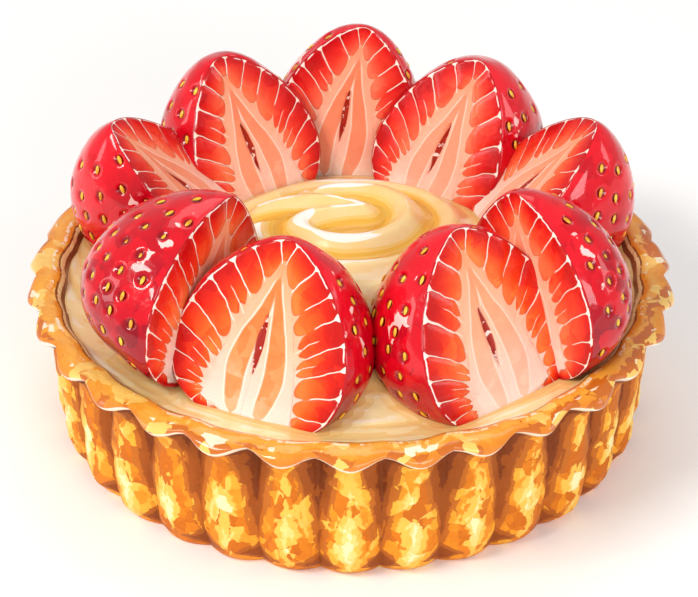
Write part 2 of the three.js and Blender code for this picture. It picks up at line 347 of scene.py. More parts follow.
class Field:
    """A number or colour that varies over a surface, as an output of a material's nodes. Arithmetic on it
    adds nodes to the same material."""

    def __init__(self, paint, socket):
        self.paint = paint
        self.socket = socket

    def __add__(self, other):
        return self.paint.math("ADD", self, other)

    def __sub__(self, other):
        return self.paint.math("SUBTRACT", self, other)

    def __rsub__(self, other):
        return self.paint.math("SUBTRACT", other, self)

    def __mul__(self, other):
        return self.paint.math("MULTIPLY", self, other)

    def __abs__(self):
        return self.paint.math("ABSOLUTE", self)

    def floor(self):
        return self.paint.math("FLOOR", self)

    def rounded(self):
        return self.paint.math("ROUND", self)

    def most(self, other):
        return self.paint.math("MAXIMUM", self, other)

    def step(self, low, high):
        """0 below low and 1 above high, with a smooth step between."""
        node = self.paint.node("ShaderNodeMapRange", interpolation_type="SMOOTHSTEP")
        for name, value in (("Value", self), ("From Min", low), ("From Max", high)):
            self.paint.put(node.inputs[name], value)
        return Field(self.paint, node.outputs["Result"])

    def ramp(self, *stops, ease="LINEAR"):
        """A colour or a number for each place from 0 to 1 that the stops name."""
        node = self.paint.node("ShaderNodeValToRGB")
        node.color_ramp.interpolation = ease
        elements = node.color_ramp.elements
        for _ in range(len(stops) - 2):
            elements.new(0.5)
        for element, (place, value) in zip(elements, stops):
            element.position = place
            element.color = tint(value) if isinstance(value, str) else (value, value, value, 1)
        self.paint.put(node.inputs["Fac"], self)
        return Field(self.paint, node.outputs["Color"])


def tint(code):
    """A colour for the nodes, from its code of six hexadecimal digits in sRGB."""
    shares = [int(code[k:k + 2], 16) / 255 for k in (1, 3, 5)]
    return (*[s / 12.92 if s <= 0.04045 else ((s + 0.055) / 1.055) ** 2.4 for s in shares], 1)


class Paint:
    """A material under construction. Each method adds nodes and gives back their output as a Field."""

    def __init__(self, name, **shader):
        self.material = bpy.data.materials.new(name)
        self.material.use_nodes = True
        self.tree = self.material.node_tree
        self.shader = self.tree.nodes["Principled BSDF"]
        self.place = self.node("ShaderNodeTexCoord").outputs["Object"]
        for key, value in shader.items():
            self.put(self.shader.inputs[key.replace("_", " ").title().replace("Ior", "IOR")], value)

    def node(self, kind, **settings):
        made = self.tree.nodes.new(kind)
        for key, value in settings.items():
            setattr(made, key, value)
        return made

    def put(self, socket, value):
        if isinstance(value, Field):
            self.tree.links.new(value.socket, socket)
        elif isinstance(value, bpy.types.NodeSocket):
            self.tree.links.new(value, socket)
        elif isinstance(value, str):
            socket.default_value = tint(value)
        else:
            socket.default_value = value

    def math(self, operation, *values):
        made = self.node("ShaderNodeMath", operation=operation)
        for socket, value in zip(made.inputs, values):
            self.put(socket, value)
        return Field(self, made.outputs[0])

    def field(self, name):
        return Field(self, self.node("ShaderNodeAttribute", attribute_name=name).outputs["Fac"])

    def sideways(self, width):
        """The place from left to right, -1 and 1 at that many millimetres to each side of the middle."""
        parts = self.node("ShaderNodeSeparateXYZ")
        self.put(parts.inputs[0], self.place)
        return Field(self, parts.outputs["X"]) * (1 / (width * MM))

    def cloud(self, size, detail=2.0, roughness=0.5):
        """Soft noise around 0, from about -0.5 to 0.5, with patches of the size in millimetres."""
        made = self.node("ShaderNodeTexNoise")
        for name, value in (("Vector", self.place), ("Scale", 1 / (size * MM)), ("Detail", detail),
                            ("Roughness", roughness)):
            self.put(made.inputs[name], value)
        return Field(self, made.outputs["Fac"]) - 0.5

    def patches(self, size, wander, squeeze):
        """A number from 0 to 1, the same all over each of many uneven patches with crisp edges. Their
        heights are divided by squeeze, and wander is how far their edges stray, in millimetres."""
        warp = self.node("ShaderNodeTexNoise")
        self.put(warp.inputs["Vector"], self.place)
        self.put(warp.inputs["Scale"], 1 / (wander * MM))
        shift = self.node("ShaderNodeVectorMath", operation="MULTIPLY_ADD")
        self.put(shift.inputs[0], warp.outputs["Color"])
        self.put(shift.inputs[1], (wander * MM, wander * MM, wander * MM))
        self.put(shift.inputs[2], self.place)
        squash = self.node("ShaderNodeMapping")
        self.put(squash.inputs["Vector"], shift.outputs["Vector"])
        self.put(squash.inputs["Scale"], (1, 1, squeeze))
        cells = self.node("ShaderNodeTexVoronoi")
        self.put(cells.inputs["Vector"], squash.outputs["Vector"])
        self.put(cells.inputs["Scale"], 1 / (size * MM))
        parts = self.node("ShaderNodeSeparateColor")
        self.put(parts.inputs["Color"], cells.outputs["Color"])
        return Field(self, parts.outputs["Red"])

    def chance(self, key):
        """A random number from 0 to 1 for each whole number of the key."""
        made = self.node("ShaderNodeTexWhiteNoise", noise_dimensions="1D")
        self.put(made.inputs["W"], key)
        return Field(self, made.outputs["Value"])

    def mix(self, share, a, b):
        """Colour a, turning into b by the share. Its colours are the node's sockets 6 and 7, and 2 out."""
        made = self.node("ShaderNodeMix", data_type="RGBA", clamp_factor=True)
        self.put(made.inputs["Factor"], share)
        self.put(made.inputs[6], a)
        self.put(made.inputs[7], b)
        return Field(self, made.outputs[2])

    def bumps(self, *layers):
        """Fine relief: each layer is a field of heights and how deep it goes, in millimetres."""
        last = None
        for height, depth in layers:
            made = self.node("ShaderNodeBump")
            self.put(made.inputs["Strength"], 1.0)
            self.put(made.inputs["Distance"], depth * MM)
            self.put(made.inputs["Height"], height)
            if last:
                self.put(made.inputs["Normal"], last)
            last = made.outputs["Normal"]
        self.put(self.shader.inputs["Normal"], last)

    def finish(self, colour, roughness=None):
        self.put(self.shader.inputs["Base Color"], colour)
        if roughness is not None:
            self.put(self.shader.inputs["Roughness"], roughness)
        return self.material


def crease(angle):
    """0 on the crest of a flute and 1 in the crease between two: 1 - |cos(15 angle)| ^ 0.85."""
    return 1 - np.abs(np.cos(FLUTES * angle / 2)) ** FLUTE_POWER


def inner_radius(height):
    """The inner face of the shell's wall, which leans out as its outer face does."""
    lean = (NECK_RADIUS - FOOT_RADIUS) / (SHELL_HEIGHT - RIM_DROP)
    return FOOT_RADIUS - WALL + lean * height


def shell_section():
    """The shell's section from the underside round the rim to the floor inside. Each stop is a radius, a
    height, its share of the flutes' depth, its share of the rim's wave, and "way": -1 at the foot, 0 at
    the neck under the rim and 1 where the rim meets the custard."""
    under = SHELL_HEIGHT - RIM_DROP
    corner = FLOOR + FLOOR_ROUND
    stops = [
        (FOOT_RADIUS - FOOT_ROUND, 0, FOOT_FLUTES, 0, -1.1),
        (FOOT_RADIUS, FOOT_ROUND, 1, 0, -1),
        ((FOOT_RADIUS + NECK_RADIUS) / 2, under / 2, 1, 0, -0.5),
        (NECK_RADIUS, under - NECK_DROP, NECK_FLUTES, 1, 0),
        *[(RIM_RADIUS - inwards, SHELL_HEIGHT - down, *rest) for inwards, down, *rest in RIM_STOPS],
        (RIM_RADIUS - RIM_WIDTH, CUSTARD_LEVEL, INNER_FLUTES, 0, 1),
        (inner_radius(under), under, INNER_FLUTES, 0, 1.1),
        (inner_radius(corner), corner, 0, 0, 1.6),
        (inner_radius(FLOOR) - FLOOR_ROUND, FLOOR, 0, 0, 1.7),
    ]
    curve = through(stops, SECTION_STEPS)
    underside = np.array([(radius, 0, 0, 0, -1.2) for radius in UNDER_RINGS])
    return np.vstack([underside, curve])


def shell_surface():
    """At each angle the section's radius loses its share of the flutes' depth in the creases, and its
    height gains its share of the rim's wave. The rim's scallops are softer, nearer a sine squared.
    Seeded noise along the normal makes the wall crumbly and the rim uneven."""
    radius, height, fluted, waved, way = shell_section().T[:, :, None]
    angle = np.arange(FLUTES * STEPS_PER_FLUTE) * TURN / (FLUTES * STEPS_PER_FLUTE)
    soft = between(way, *SOFT_SPAN)
    crest = crease(angle)
    rounded = np.sin(FLUTES * angle / 2) ** 2
    wave = crest + (rounded - crest) * soft
    reach = radius - fluted * FLUTE_DEPTH * (crest + (rounded - crest) * soft * LOBE_SOFTNESS)
    rise = np.maximum(height, 0) + waved * RIM_WAVE * wave
    points = ring_of(reach, angle, rise)
    wall = between(way, *CRUMB_SPAN)
    rim = between(way, *LUMP_SPAN)
    relief = wall * uneven(points, WALL_CRUMBS, WALL_DRAW)
    relief = relief + rim * uneven(points, RIM_LUMPS, RIM_DRAW)
    points = points + normals(points, wrap=True) * relief[..., None]
    across = np.abs((angle * FLUTES / TURN + 0.5) % 1 - 0.5) * 2
    fields = dict(way=way + 0 * angle, across=across + 0 * way)
    return points, fields


def crust():
    """The shell's surface, closed by a pole in the middle of the underside and one on the floor inside."""
    points, fields = shell_surface()
    rows, columns = points.shape[:2]
    every = np.vstack([points.reshape(-1, 3), [[0, 0, 0], [0, 0, FLOOR]]])
    under = fan_faces(rows * columns, np.arange(columns))
    inside = fan_faces(rows * columns + 1, np.arange(rows * columns)[-columns:][::-1])
    corners = np.concatenate([grid_faces(rows, columns, wrap=True), under, inside])
    fields = {name: np.append(values, [values.min(), values.max()]) for name, values in fields.items()}
    made = mesh_of("crust", every, corners, fields, [pastry()])
    place_piece(made, "shell")


def pastry():
    """Baked shortcrust, in tones with crisp, uneven edges, and painted shade that makes it browner on the
    right.
    The wall is golden, with a pale patch in the middle of each crest that is partly a painted highlight, a
    brown V of painted shade below the rim that narrows down each crease, a band of painted shadow just
    under the rim, and a rounded brown patch at its foot. The rim is egg-washed and glossy, with painted shade
    that makes it darker low down, painted highlights on its pads and near its inner edge, a pale lower edge,
    and a brown line where it meets the custard."""
    paint = Paint("pastry", roughness=0.5, subsurface_weight=0.06, subsurface_scale=0.002,
                  coat_roughness=0.09, specular_ior_level=0.2)
    way = paint.field("way")
    across = paint.field("across")
    up = way + 1.0
    small = paint.patches(2.6, 2.6, 0.8) - 0.5
    large = paint.patches(5.2, 4, 0.7) - 0.5
    grain = paint.cloud(1.2, 3)
    rough = small * 0.5 + large * 0.45 + grain * 0.35
    # Painted shade: browner towards the right, away from the key light.
    right_shade = paint.sideways(RIM_RADIUS).step(0.1, 1.0)

    colour = (large * 0.7 + small * 0.6 + grain * 0.3 + 0.5 + right_shade * 0.25).ramp(
        (0.1, "#F7B63C"), (0.3, "#F2A32C"), (0.5, "#EB921E"), (0.7, "#DF7E14"), (0.9, "#CC6A10"))
    side = across + rough * 0.45
    # Partly a painted highlight: a pale patch in the middle of each crest.
    patch = across * 0.8 + rough * 0.75 + abs(up - 0.38) * 0.95 + right_shade * 0.12
    for limit, edge, tone in ((0.4, 0.03, "#F7C050"), (0.2, 0.02, "#FBD67C"), (0.04, 0.02, "#FFEBB0")):
        colour = paint.mix((limit - patch).step(-0.02, edge), colour, tone)
    # Painted shade: a brown V under the rim in each crease, narrowing downwards, browner on the right.
    crease_shade = side - 0.2 - (1.0 - up) * 0.95 + right_shade * 0.16
    colour = paint.mix(crease_shade.step(-0.03, 0.0), colour, "#C26A1E")
    colour = paint.mix((crease_shade - 0.16 - small * 0.2).step(-0.02, 0.02), colour, "#A45216")
    colour = paint.mix((crease_shade - 0.42 - large * 0.2).step(-0.02, 0.02), colour, "#843C10")
    foot = 1.0 - (1.0 - side) * 1.35 - abs(up - 0.09) * 7.5
    colour = paint.mix(foot.step(-0.03, 0.03), colour, "#B5611C")
    colour = paint.mix((foot - 0.35).step(-0.03, 0.03), colour, "#984A14")
    # Painted shadow: a dark brown band just under the rim.
    wall = paint.mix((up + rough * 0.06).step(0.965, 0.98), colour, "#803C10")

    high = way + rough * 0.2
    # Painted shade: the rim is lighter on its top and darker low down and towards its inner edge.
    rim = high.ramp((0.12, "#DA7A16"), (0.3, "#E2861A"), (0.42, "#EB9722"), (0.56, "#F3AA38"),
                    (0.7, "#F0A02E"), (0.8, "#E68E20"))
    # Painted shade: darker patches on the lower half of each pad, more of them on the right.
    pad_shade = (0.42 - way + rough * 0.5 + right_shade * 0.2).step(-0.02, 0.03)
    pad_shade = pad_shade * (large * 1.4 + small * 0.4 + right_shade * 0.2).step(0.0, 0.03)
    rim = paint.mix(pad_shade, rim, "#CC6A12")
    rim = paint.mix((large + small * 0.5 - 0.36 + (way - 0.4) * 0.3).step(-0.02, 0.02), rim, "#F9C864")
    rim = paint.mix((0.215 - way + rough * 0.03).step(-0.01, 0.01), rim, "#FFF6DE")
    # Painted highlights: one whitish gleam on each pad and a broken line of them near the inner edge.
    painted_gleam = (small - 0.27 - abs(way - 0.5) * 1.6 - across * 0.25).step(-0.01, 0.02)
    inner = (0.035 - abs(way - 0.72)).step(0.0, 0.01) * (grain * 1.5 + small - 0.22).step(0.0, 0.04)
    painted_gleam = painted_gleam.most(inner)
    rim = paint.mix(painted_gleam * 0.8, rim, "#FFF4D6")
    rim = paint.mix((way + rough * 0.04).step(0.82, 0.83), rim, "#FAE0A0")
    on_rim = (way + rough * 0.02).step(0.05, 0.07)
    seam = (0.016 - abs(way + rough * 0.04 - 0.815)).step(-0.004, 0.004) * (small + 0.34).step(-0.05, 0.05)
    seam = seam.most((way + rough * 0.04).step(0.9, 0.91))
    colour = paint.mix(seam * 0.9, paint.mix(on_rim, wall, rim), "#7A431B")
    paint.bumps((paint.cloud(0.55, 4, 0.65), 0.12), (paint.cloud(2.0, 2) + rough * 0.5, 0.3))
    paint.put(paint.shader.inputs["Coat Weight"], on_rim * 0.75 + 0.03)
    return paint.finish(colour, on_rim.ramp((0.0, 0.6), (1.0, 0.35)))


def berry_place(one):
    """The turn and the place of a strawberry: rolled about its width's normal, tipped back, then turned to
    face its way, with its hull end at its place in the ring."""
    around = math.radians(one["around"])
    hull = np.array([one["out"] * math.sin(around), -one["out"] * math.cos(around), one["up"]])
    facing = Matrix.Rotation(math.radians(one["facing"]), 3, "Z")
    back = Matrix.Rotation(-math.radians(one["back"]), 3, "X")
    roll = Matrix.Rotation(math.radians(one["roll"]), 3, "Y")
    return np.array(facing @ back @ roll), hull


def outline(t):
    """The share of the full width at a share t of the length: t ^ SHOULDER * (1 - t) ^ TIP, over its
    peak."""
    peak = SHOULDER / (SHOULDER + TIP)
    return t ** SHOULDER * (1 - t) ** TIP / (peak ** SHOULDER * (1 - peak) ** TIP)


def berry_section(one):
    """The ellipse of a strawberry's section: half its width, half its depth and the angle at the cut
    edge."""
    round_part = one["depth"] - one["belly"]
    start = -math.asin(one["belly"] / round_part)
    return one["width"] / 2 / math.cos(start), round_part, start


def flank(one, t, turn):
    """The skin: at each share t of the length, part of an ellipse whose middle is "belly" behind the cut
    face, all of it scaled by outline(t). It leans, BACK_RISE higher for each millimetre behind the
    face."""
    wide, round_part, _ = berry_section(one)
    share = outline(t)
    behind = share * (one["belly"] + round_part * np.sin(turn))
    return np.stack([share * wide * np.cos(turn), behind, one["length"] * t + BACK_RISE * behind], -1)


def outside_berry(one, points):
    """About how far each point is outside a strawberry, in millimetres, and negative inside it: the largest
    of its distances past the ellipse of the section at its height, past the cut face and past the two
    ends."""
    turn, hull = berry_place(one)
    x, y, z = np.moveaxis((points - hull) @ turn, -1, 0)
    z = z - BACK_RISE * y
    wide, round_part, _ = berry_section(one)
    share = outline(np.clip(z / one["length"], 0.03, 0.97))
    ratio = np.hypot(x / (share * wide), (y - share * one["belly"]) / (share * round_part))
    past_ellipse = (ratio - 1) * share * min(wide, round_part)
    return np.maximum.reduce([past_ellipse, -y, -z, z - one["length"]])


def swirl_crest():
    """The crest of the swirl, seen from above, in two parts. A stroke, (1 - s)^2 a + 2 s (1 - s) b + s^2 c,
    comes in from the left to the eye. A loop leaves the eye and runs round it by way of the front: its
    radius, and the way of its middle from the eye to LOOP_CENTRE, grow as 1 - exp(-turned /
    LOOP_GROWTH)."""
    s = np.linspace(0, 1, CREST_STEPS)[:, None]
    start, bend, end = STROKE
    stroke = (1 - s) ** 2 * start + 2 * s * (1 - s) * bend + s ** 2 * end
    turned = (LOOP_TO - LOOP_FROM) * s ** 2
    grown = 1 - np.exp(-turned / LOOP_GROWTH)
    angle = np.radians(LOOP_FROM + turned)
    loop = EYE + (LOOP_CENTRE - EYE) * grown - LOOP_RADIUS * grown * np.hstack([np.cos(angle), np.sin(angle)])
    return stroke, loop


def custard_height(x, y):
    """A low dome with a dip round it, and the swirl: a wave of the distance from its crest. Behind the
    stroke's far edge the surface steps down, as if the stroke lay over it."""
    radius = np.hypot(x, y)
    heap = HEAP_HEIGHT * (1 - smooth(radius, *HEAP_SPAN))
    dip = DIP_DEPTH * (1 - smooth(np.abs(radius - DIP_RADIUS), 0, DIP_REACH))
    stroke, loop = swirl_crest()
    away = np.full(x.shape, 1e9)
    for across, back in np.vstack([stroke, loop]):
        away = np.minimum(away, np.hypot(x - across, y - back))
    fade = 1 - smooth(np.hypot(x - LOOP_CENTRE[0], y - LOOP_CENTRE[1]), *SWIRL_SPAN)
    ridge = np.cos(TURN * away / SWIRL_PITCH) * fade
    past = y - np.interp(x, *stroke.T) - np.interp(x, *FOLD_OFFSET)
    fold = smooth(past, *FOLD_EDGE) * np.exp(-(np.maximum(past, 0) / FOLD_REACH) ** 2)
    fold = fold * between(x, *FOLD_SPAN)
    return CUSTARD_LEVEL + heap - dip + SWIRL_DEPTH / 2 * ridge - FOLD_DEPTH * fold, ridge, away, fold, fade


def custard_surface():
    """Rings whose middles slide from the swirl's loop to the middle of the tart as they grow, each point at
    the custard's height, with a lip that rises against the crust and against each strawberry."""
    ring = np.linspace(0, 1, CUSTARD_RINGS)[:, None]
    angle = np.arange(CUSTARD_STEPS) * TURN / CUSTARD_STEPS
    edge = RIM_RADIUS - RIM_WIDTH - INNER_FLUTES * FLUTE_DEPTH * crease(angle) + EDGE_BITE
    radius = edge * ring
    slide = 1 - smooth(ring, CUSTARD_SLIDE, 1)
    points = ring_of(radius, angle, 0.0)
    points[..., :2] += LOOP_CENTRE * slide[..., None]
    x, y = points[..., 0], points[..., 1]
    points[..., 2], ridge, away, fold, fade = custard_height(x, y)
    foot = np.min([outside_berry(one, points) for one in BERRIES], axis=0)
    inwards = edge - radius
    at_foot = np.exp(-(np.maximum(foot, 0) / FOOT_REACH) ** 2) * smooth(inwards, 0, EDGE_CALM[0])
    points[..., 2] += FOOT_RISE * at_foot + EDGE_RISE * np.exp(-(inwards / EDGE_REACH) ** 2)
    points[..., 2] += uneven(points, [CUSTARD_WAVES], CUSTARD_DRAW) * smooth(inwards, 0, EDGE_CALM[1])
    turned = np.arctan2(x - LOOP_CENTRE[0], y - LOOP_CENTRE[1])
    streak = noise(np.stack([x / STREAK_LENGTH, y / STREAK_LENGTH, away / STREAK_WIDTH], -1), 1, STREAK_DRAW)
    # Painted highlights: the swirl's crests are painted white round these angles, not near the loop's middle.
    off = [np.abs((np.degrees(turned) - place + 180) % 360 - 180) for place in GLEAMS]
    painted_gleam = np.exp(-(np.min(off, axis=0) / GLEAM_WIDTH) ** 2)
    painted_gleam = painted_gleam * smooth(np.hypot(x - LOOP_CENTRE[0], y - LOOP_CENTRE[1]), *GLEAM_CLEAR)
    fields = dict(ridge=ridge - FOLD_SHADE * fold, streak=streak, swirl=fade, painted_gleam=painted_gleam, foot=foot,
                  edge=inwards)
    return points, fields


def filling():
    """The custard's surface, closed by its side inside the crust and its underside on the shell's floor."""
    points, fields = custard_surface()
    below = []
    for height in (SHELL_HEIGHT - RIM_DROP, FLOOR + FLOOR_ROUND, FLOOR):
        angle = np.arange(CUSTARD_STEPS) * TURN / CUSTARD_STEPS
        radius = inner_radius(height) - (FLOOR_ROUND if height == FLOOR else 0)
        below.append(ring_of(radius, angle, height))
    every = np.concatenate([[points[:1, :1].repeat(CUSTARD_STEPS, 1)[0]], points[1:], below])
    rows, columns = every.shape[:2]
    flat = np.vstack([every.reshape(-1, 3), [[0, 0, FLOOR]]])
    bottom = fan_faces(rows * columns, np.arange(rows * columns)[-columns:])
    corners = np.concatenate([grid_faces(rows, columns, wrap=True)[:, ::-1], bottom])
    for name, values in fields.items():
        fields[name] = np.append(np.concatenate([values, values[[-1] * len(below)]]), 0)
    flat, corners, fields, _ = welded(flat, corners, fields, np.zeros(len(corners)))
    made = mesh_of("custard_cream", flat, corners, fields, [cream()])
    place_piece(made, "custard")


def cream():
    """Glossy custard in tones with crisp edges that follow the ribbons of the swirl: yellow painted shade in
    its hollows, cream between, and white painted highlights along its crests, least on the right. The flat
    custard is a paler cream, painted light against the shade of the fruit, with paler streaks of painted
    highlight and yellower streaks, tan painted shade at the feet of the fruit, and painted shade where it
    meets the crust."""
    paint = Paint("custard", roughness=0.24, subsurface_weight=0.2, subsurface_scale=0.003, coat_weight=0.5,
                  coat_roughness=0.1, specular_ior_level=0.25)
    streak = paint.field("streak")
    swirl = paint.field("swirl")
    wander = paint.cloud(2.2, 2)
    level = paint.field("ridge") + streak * 0.34 + wander * 0.15
    colour = (paint.cloud(7, 2) + 0.5).ramp((0.3, "#F3D086"), (0.7, "#F7DBA0"))
    # Painted shade: yellow in the swirl's hollows and in the step behind the fold, deeper the lower.
    for limit, edge, tone in ((0.12, 0.04, "#F4CC74"), (0.5, 0.03, "#EEB948"), (0.92, 0.03, "#E5A838")):
        colour = paint.mix((0.0 - level - limit).step(-0.02, edge), colour, tone)
    # Painted highlights: white along the swirl's crests.
    white = level + paint.field("painted_gleam") * 0.56 - 1.02
    colour = paint.mix(white.step(-0.02, 0.05), colour, "#FFFBEE")
    flat = 1.0 - swirl
    # Painted light: the flat custard is a paler cream than the swirl, to make up for the shade of the fruit.
    colour = paint.mix(flat * 0.8, colour, "#FFEEB6")
    streak = streak + wander * 0.4
    # Painted highlights: paler streaks on the flat custard.
    colour = paint.mix((streak - 0.3).step(-0.02, 0.03) * flat, colour, "#FFF3D0")
    colour = paint.mix((0.0 - streak - 0.18).step(-0.02, 0.03) * flat, colour, "#F9DB94")
    # Painted shade: tan at the feet of the fruit.
    foot = paint.field("foot") + streak * 0.9
    for reach, share, tone in ((2.4, 0.5, "#F2C878"), (1.0, 0.6, "#E4B066")):
        colour = paint.mix((reach - foot).step(-0.05, 0.1) * share, colour, tone)
    # Painted shade: darker where the custard meets the crust.
    colour = paint.mix((0.9 - paint.field("edge") + streak * 0.3).step(-0.05, 0.1) * 0.7, colour, "#F6D58E")
    paint.bumps((paint.cloud(5, 1), 0.4), (streak, 0.12))
    return paint.finish(colour)


def seed_places(one, rng):
    """Seeds in staggered rows, one spacing apart along each row and nearly so from row to row, with a
    little drift: their shares of the length and angles about the section."""
    wide, round_part, start = berry_section(one)
    rows = []
    stagger = 0
    for z in np.arange(SEED_ENDS[0], one["length"] - SEED_ENDS[1], SEED_SPACING * SEED_ROW_GAP):
        girth = outline(z / one["length"]) * (math.pi - 2 * start) * (wide + round_part) / 2
        count = max(1, round(girth / SEED_SPACING))
        drift = rng.uniform(-SEED_DRIFT[0], SEED_DRIFT[0], count)
        share = (np.arange(count) + 0.25 + 0.5 * stagger) / count + drift / count
        share = share[(share > CALM[0]) & (share < 1 - CALM[0])]
        along = (z + rng.uniform(-SEED_DRIFT[1], SEED_DRIFT[1], len(share))) / one["length"]
        rows.append(np.stack([along, start + share * (math.pi - 2 * start)], -1))
        stagger = 1 - stagger
    return np.vstack(rows)


def seeds(one, places):
    """A small ellipsoid in each dimple, its long axis along the berry and its pointed end towards the
    hull."""
    t, turn = places.T
    nudge = 1e-3
    at = flank(one, t, turn)
    along = unit(flank(one, t + nudge, turn) - at)
    out = unit(np.cross(flank(one, t, turn + nudge) - at, along))
    side = np.cross(along, out)
    rise, spin = np.meshgrid(np.arange(1, SEED_RINGS + 1) * math.pi / (SEED_RINGS + 1),
                             np.arange(SEED_SIDES) * TURN / SEED_SIDES, indexing="ij")
    ball = np.stack([np.sin(rise) * np.cos(spin), np.sin(rise) * np.sin(spin), -np.cos(rise)], -1)
    body = np.vstack([ball.reshape(-1, 3), [[0, 0, -SEED_POINT], [0, 0, 1]]]) * SEED_SIZE
    frames = np.stack([side, out, along], 1)
    points = (at - out * SEED_SINK)[:, None] + np.einsum("vk,nkx->nvx", body, frames)
    last = SEED_RINGS * SEED_SIDES
    upper = fan_faces(last, np.arange(SEED_SIDES))
    lower = fan_faces(last + 1, np.arange(last)[-SEED_SIDES:][::-1])
    one_seed = np.concatenate([grid_faces(SEED_RINGS, SEED_SIDES, wrap=True), upper, lower])
    corners = one_seed[None] + (np.arange(len(places)) * len(body))[:, None, None]
    return points.reshape(-1, 3), corners.reshape(-1, 3)


def dimpled_flank(one, t, places, seed):
    """The skin with a bowl at each seed, DIMPLE_DEPTH * (1 - (distance / radius)^2)^2 deep, and a slow
    unevenness. Both die away at the cut edge and the ends, so that the skin meets the cut face."""
    _, _, start = berry_section(one)
    spread = (1 - np.cos(np.linspace(0, math.pi, FLANK_COLUMNS))) / 2
    share = FLANK_CROWDING * spread + (1 - FLANK_CROWDING) * np.linspace(0, 1, FLANK_COLUMNS)
    turn = start + share * (math.pi - 2 * start)
    points = flank(one, t[:, None], turn[None])
    centres = flank(one, *places.T)
    gap = np.full(points.shape[:2], 1e9)
    for centre in centres:
        gap = np.minimum(gap, ((points - centre) ** 2).sum(-1))
    bowl = np.clip(1 - gap / DIMPLE_RADIUS ** 2, 0, 1) ** 2
    girth = np.minimum(share, 1 - share)[None]
    hold = smooth(girth, 0, CALM[0]) * smooth(np.minimum(t, 1 - t), 0, CALM[1])[:, None]
    depth = (uneven(points, [SKIN_WAVES], seed) - DIMPLE_DEPTH * bowl) * hold
    moved = points + normals(points) * depth[..., None]
    moved[:, 0] = points[:, 0]
    moved[:, -1] = points[:, -1]
    moved[-1] = (0, 0, one["length"])
    return moved, bowl * hold, girth + 0 * bowl


def core_end(t):
    """Where on the core the vein that reaches the skin at t begins: 0.08 + 0.42 t + 0.38 t^3."""
    return 0.08 + 0.42 * t + 0.38 * t ** 3


def core_width(t):
    """The core's half width at t, as a share of the berry's: 0.52 at the hull, falling to 0 at 0.88."""
    return 0.52 * (1 - np.clip((t - 0.08) / 0.8, 0, 1) ** 1.6)


def finger_count(t, rng):
    """A number that grows by one from each vein to the next, along the skin from the hull to the tip. The
    wedges between are alike in length along the skin, give or take a quarter."""
    length = np.concatenate([[0], np.cumsum(np.hypot(np.diff(outline(t)) * 0.5, np.diff(t)))])
    steps = np.cumsum(1 + rng.uniform(-FINGER_VARIATION, FINGER_VARIATION, FINGERS))
    stops = np.concatenate([[0], steps / steps[-1]])
    return np.interp(length / length[-1], stops, np.arange(FINGERS + 1)) + FINGER_START


def cut_side(one, t, skin, side, rng):
    """One side of the cut face, between the core and the skin. Row by row it runs straight from the core at
    core_end(t) to the skin at t, as the veins do, with a slight bend. Between two veins the flesh swells
    by the root of a parabola."""
    reach = np.linspace(0, 1, FINGER_COLUMNS)[None, :]
    half = one["width"] / 2
    root = np.stack([side * core_width(core_end(t)) * half, 0 * t, core_end(t) * one["length"]], -1)[:, None]
    root[-1, :, 0] = 0
    points = root * (1 - reach[..., None]) + skin[:, None] * reach[..., None]
    points[..., 2] += VEIN_BEND * one["length"] * reach * (1 - reach) * np.sin(t * math.pi)[:, None]
    finger = finger_count(t, rng)[:, None] + 0 * reach
    share = finger % 1
    swell = PILLOW * np.sqrt(4 * share * (1 - share)) * between(reach, *PILLOW_REACH)
    points[..., 1] -= swell * between(t, *PILLOW_LENGTH)[:, None]
    fields = dict(finger=finger + RIGHT_FINGERS * (side > 0), reach=reach + 0 * finger)
    return points, fields


def core(one, left, right):
    """The core, as rows between the two sides' inner edges, and below them between their lowest rows. The
    columns crowd to the middle, where the slit lies: a groove that narrows to both its ends."""
    share = np.linspace(-1, 1, CORE_COLUMNS + 1)
    share = np.sign(share) * np.abs(share) ** CORE_CROWDING
    starts = np.concatenate([left[0, ::-1], left[1:, 0]])[:, None]
    ends = np.concatenate([right[0, ::-1], right[1:, 0]])[:, None]
    mix = ((share + 1) / 2)[None, :, None]
    points = starts * (1 - mix) + ends * mix
    along = points[..., 2] / one["length"]
    across = points[..., 0] / (one["width"] / 2)
    middle = (along - SLIT_SPAN[0]) / (SLIT_SPAN[1] - SLIT_SPAN[0])
    width = SLIT_WIDTH * np.sqrt(np.clip(4 * middle * (1 - middle), 1e-6, 1))
    inside = np.clip(1 - np.abs(across - SLIT_LEAN) / width, 0, 1) * ((middle > 0) & (middle < 1))
    points[..., 1] += SLIT_DEPTH * np.sqrt(inside)
    edge = np.concatenate([np.linspace(1, 0, len(left[0])), np.zeros(len(left) - 1)])[:, None]
    reach = edge * np.abs(share) - (1 - np.abs(share)) * (1 - edge)
    return points, dict(reach=reach)


